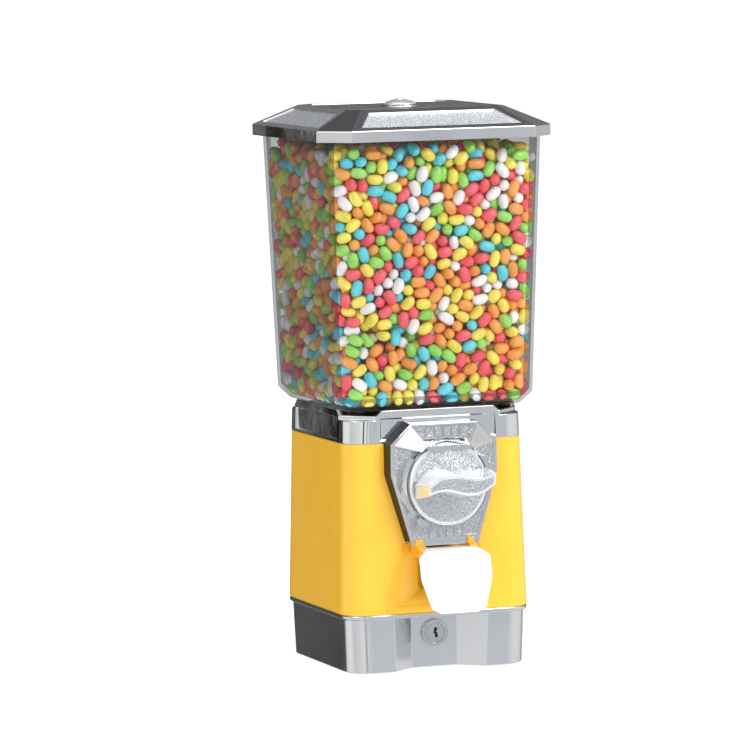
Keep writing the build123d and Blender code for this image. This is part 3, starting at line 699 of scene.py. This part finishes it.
def bean_mesh(nu=12, nv=8):
    vs, fs = [], []
    vs.append((-1.0, 0, 0))
    for i in range(1, nv):
        t = math.pi * i / nv
        x = -math.copysign(abs(math.cos(t)) ** 0.86, math.cos(t))
        r = math.sin(t) ** 0.78
        for j in range(nu):
            a = 2 * math.pi * j / nu
            vs.append((x, r * math.cos(a), r * math.sin(a)))
    vs.append((1.0, 0, 0))
    last = len(vs) - 1
    for j in range(nu):
        k = (j + 1) % nu
        fs.append((0, 1 + k, 1 + j))
        fs.append((last, last - nu + j, last - nu + k))
    for i in range(nv - 2):
        for j in range(nu):
            k = (j + 1) % nu
            a, b = 1 + i * nu, 1 + (i + 1) * nu
            fs.append((a + j, a + k, b + k, b + j))
    return np.array(vs), fs


COLS = [("coral", (0.98, 0.125, 0.155), 0.16), ("orange", (1.0, 0.40, 0.075), 0.22), ("lemon", (1.0, 0.84, 0.12), 0.20),
        ("green", (0.36, 0.79, 0.14), 0.13), ("aqua", (0.13, 0.70, 0.83), 0.12), ("milk", (0.97, 0.96, 0.95), 0.17)]
cen, dirs, rng = pack_candy()
bv, bf = bean_mesh()
which = rng.choice(6, size=len(cen), p=np.array([c[2] for c in COLS]))
for ci, (cname, col, _) in enumerate(COLS):
    sel = np.where(which == ci)[0]
    verts, faces = [], []
    for s in sel:
        d = dirs[s]
        t = rng.normal(size=3)
        u = np.cross(d, t)
        u /= np.linalg.norm(u)
        w = np.cross(d, u)
        k = rng.uniform(0.93, 1.04)
        lx, ly, lz = (OFF + RS) * rng.uniform(0.94, 1.06) * k, RS * rng.uniform(0.96, 1.03), RS * rng.uniform(0.90, 1.0)
        bend = rng.uniform(0.0, 0.9)
        loc = bv * (lx, ly, lz)
        loc[:, 2] += bend * (bv[:, 0] ** 2 - 0.45)
        loc[:, 1] *= 1 + 0.06 * bv[:, 0] * rng.uniform(-1, 1)
        pts = cen[s] + loc[:, :1] * d + loc[:, 1:2] * u + loc[:, 2:3] * w
        base = len(verts) * len(bv)
        verts.append(pts)
        faces += [tuple(i + base for i in f) for f in bf]
    allv = np.concatenate(verts)
    me = bpy.data.meshes.new("candy_" + cname)
    me.from_pydata([tuple(P(*p)) for p in allv], [], faces)
    me.polygons.foreach_set("use_smooth", [True] * len(me.polygons))
    me.materials.append(candy_mat("candy_" + cname, col))
    o = bpy.data.objects.new("candy_" + cname, me)
    bpy.context.scene.collection.objects.link(o)
    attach(o, "cabinet")

# ------------------------------------------------------------------ stage
bpy.ops.mesh.primitive_plane_add(size=60)
floor = bpy.context.object
floor.name = "floor"
fm = Mat("floor_paper")
fm.to(fm.ramp(fm.noise(3, 4, 0.5), [(0.3, (0.86, 0.86, 0.86)), (0.7, (0.89, 0.89, 0.89))]), "Base Color")
fm.set(Roughness=0.6)
fm.b.inputs["Emission Color"].default_value = (1, 1, 1, 1)
fm.b.inputs["Emission Strength"].default_value = 0.62
floor.data.materials.append(fm.m)
floor.visible_glossy = False

# room around the object: a pale front, a dark upper back and streaks on the left
world = bpy.data.worlds.new("studio")
bpy.context.scene.world = world
world.use_nodes = True
wt = world.node_tree
bg = wt.nodes["Background"]
tc = wt.nodes.new("ShaderNodeTexCoord")
sep = wt.nodes.new("ShaderNodeSeparateXYZ")
wt.links.new(tc.outputs["Generated"], sep.inputs[0])


def wmath(op, *a):
    n = wt.nodes.new("ShaderNodeMath")
    n.operation = op
    for i, v in enumerate(a):
        if isinstance(v, (int, float)):
            n.inputs[i].default_value = v
        else:
            wt.links.new(v, n.inputs[i])
    return n.outputs[0]


def wramp(fac, stops):
    n = wt.nodes.new("ShaderNodeValToRGB")
    el = n.color_ramp.elements
    for i, (p, c) in enumerate(stops):
        e = el[0] if i == 0 else (el[1] if i == 1 else el.new(p))
        e.position = p
        e.color = (c, c, c, 1) if isinstance(c, (int, float)) else (*c, 1)
    wt.links.new(fac, n.inputs["Fac"])
    return n.outputs["Color"]


theta = wmath("MULTIPLY_ADD", wmath("ARCTAN2", sep.outputs["X"], sep.outputs["Y"]), 0.5 / math.pi, 0.5)
AZ = [(-180, (0.58, 0.60, 0.63)), (-174, 0.80), (-172, 0.08), (-169, 0.80), (-160, 0.85), (-158, 0.08), (-154, 0.10), (-151, 0.85), (-128, 0.72),
      (-100, 0.62), (-84, 0.88), (-66, 0.80), (-57, 0.85), (-53, 0.07), (-43, 0.07), (-38, (0.20, 0.21, 0.20)), (-33, (0.34, 0.34, 0.32)),
      (-27, (0.06, 0.07, 0.06)), (-22, (0.20, 0.15, 0.12)), (-17, (0.05, 0.06, 0.055)), (-11, (0.14, 0.15, 0.13)), (-4, (0.40, 0.40, 0.38)),
      (4, 0.95), (34, 1.0), (46, 0.62), (60, 0.25), (74, 0.70), (118, 0.75), (140, 0.66), (160, (0.57, 0.60, 0.63)), (180, (0.58, 0.60, 0.63))]
low = wramp(theta, [((t + 180) / 360, c) for t, c in AZ])
high = wramp(sep.outputs["Z"], [(0.0, (0.055, 0.055, 0.05)), (0.12, (0.10, 0.10, 0.095)), (0.26, (0.20, 0.21, 0.21)), (0.42, (0.10, 0.10, 0.11)),
                                (0.58, (0.07, 0.07, 0.075)), (0.72, (0.10, 0.10, 0.105)), (0.79, (0.16, 0.165, 0.17)), (0.85, (0.85, 0.86, 0.88)), (1.0, (0.9, 0.91, 0.94))])
above = wmath("SMOOTH_MAX", wmath("MINIMUM", wmath("MULTIPLY_ADD", sep.outputs["Z"], 22.0, 0.1), 1.0), 0.0, 0.05)
rear = wmath("MAXIMUM", wmath("MINIMUM", wmath("MULTIPLY_ADD", sep.outputs["Y"], 1.6, 0.45), 1.0), 0.0)
mxw = wt.nodes.new("ShaderNodeMix")
mxw.data_type = "RGBA"
wt.links.new(wmath("MULTIPLY", above, rear), mxw.inputs[0])
wt.links.new(low, mxw.inputs[6])
wt.links.new(high, mxw.inputs[7])
wt.links.new(mxw.outputs[2], bg.inputs["Color"])
bg.inputs["Strength"].default_value = 1.05


def area(name, loc, target, size, power, col=(1, 1, 1)):
    l = bpy.data.lights.new(name, "AREA")
    l.shape = "RECTANGLE"
    l.size, l.size_y = size
    l.energy = power
    l.color = col
    o = bpy.data.objects.new(name, l)
    o.location = loc
    o.rotation_euler = (Vector(target) - Vector(loc)).to_track_quat("-Z", "Y").to_euler()
    o.visible_camera = False
    bpy.context.scene.collection.objects.link(o)
    return o


area("key", (1.1, -1.7, 1.3), (0, 0, 0.22), (1.1, 1.3), 27)
area("top", (0.1, -0.5, 1.9), (0, 0, 0.2), (1.3, 1.3), 14)
area("side", (-1.9, -0.9, 1.1), (0, 0, 0.24), (0.7, 1.2), 5)



def card(name, centre, facing, w, h, stops, streak, strength=1.0):
    """plane seen only in reflections, with upright light and dark streaks"""
    m = bpy.data.materials.new(name)
    m.use_nodes = True
    nt = m.node_tree
    nt.nodes.remove(nt.nodes["Principled BSDF"])
    em = nt.nodes.new("ShaderNodeEmission")
    tcn, mp, nz = nt.nodes.new("ShaderNodeTexCoord"), nt.nodes.new("ShaderNodeMapping"), nt.nodes.new("ShaderNodeTexNoise")
    rp = nt.nodes.new("ShaderNodeValToRGB")
    mp.inputs["Scale"].default_value = streak
    nz.inputs["Scale"].default_value = 1.0
    nz.inputs["Detail"].default_value = 4.0
    nz.inputs["Roughness"].default_value = 0.6
    nt.links.new(tcn.outputs["Object"], mp.inputs["Vector"])
    nt.links.new(mp.outputs["Vector"], nz.inputs["Vector"])
    nt.links.new(nz.outputs["Fac"], rp.inputs["Fac"])
    el = rp.color_ramp.elements
    for i, (q, c) in enumerate(stops):
        e = el[0] if i == 0 else (el[1] if i == 1 else el.new(q))
        e.position = q
        e.color = (*c, 1) if isinstance(c, tuple) else (c, c, c, 1)
    nt.links.new(rp.outputs["Color"], em.inputs["Color"])
    em.inputs["Strength"].default_value = strength
    nt.links.new(em.outputs[0], nt.nodes["Material Output"].inputs["Surface"])
    me = bpy.data.meshes.new(name)
    me.from_pydata([(-w / 2, -h / 2, 0), (w / 2, -h / 2, 0), (w / 2, h / 2, 0), (-w / 2, h / 2, 0)], [], [(0, 1, 2, 3)])
    me.materials.append(m)
    o = bpy.data.objects.new(name, me)
    o.location = centre
    o.rotation_euler = (Vector(facing) - Vector(centre)).to_track_quat("Z", "Y").to_euler()
    for k in ("visible_camera", "visible_diffuse", "visible_shadow", "visible_transmission", "visible_volume_scatter"):
        setattr(o, k, False)
    bpy.context.scene.collection.objects.link(o)
    return o


card("left_card", (-0.225, 0.45, 0.16), (-0.08, 0.0, 0.16), 0.62, 0.56,
     [(0.34, 0.005), (0.46, (0.012, 0.02, 0.012)), (0.51, (0.03, 0.035, 0.028)), (0.555, (0.62, 0.62, 0.61)), (0.59, (0.035, 0.026, 0.022)), (0.72, 0.008)],
     (42.0, 4.0, 1.0), 0.55)
card("front_card", (0.24, -0.68, 0.16), (0.0, -0.07, 0.16), 0.60, 0.60,
     [(0.34, (0.40, 0.42, 0.45)), (0.44, (0.54, 0.56, 0.60)), (0.52, (0.62, 0.64, 0.67)), (0.58, (0.50, 0.53, 0.54)), (0.70, (0.74, 0.76, 0.78))],
     (24.0, 1.2, 1.0))

cam = bpy.data.cameras.new("photo")
cam.sensor_width = 36
cam.lens = 5364.46 * 36 / 751
cam.clip_end = 100
co = bpy.data.objects.new("photo", cam)
bpy.context.scene.collection.objects.link(co)
phi, yaw, pitch, roll, D, zc = (math.radians(20.49), math.radians(-0.31), math.radians(-5.42), math.radians(-0.92), 3800.0, 563.26)
az = phi + yaw
fwd = Vector((math.sin(az) * math.cos(pitch), math.cos(az) * math.cos(pitch), math.sin(pitch)))
rt = Vector((math.cos(az), -math.sin(az), 0))
up = rt.cross(fwd)
R = rt * math.cos(roll) + up * math.sin(roll)
U = up * math.cos(roll) - rt * math.sin(roll)
M = Matrix.Identity(4)
for i in range(3):
    M[i][0], M[i][1], M[i][2] = R[i], U[i], -fwd[i]
M.translation = P(-D * math.sin(phi), -D * math.cos(phi), zc)
co.matrix_world = M
bpy.context.scene.camera = co
bpy.context.scene.view_settings.view_transform = "Standard"
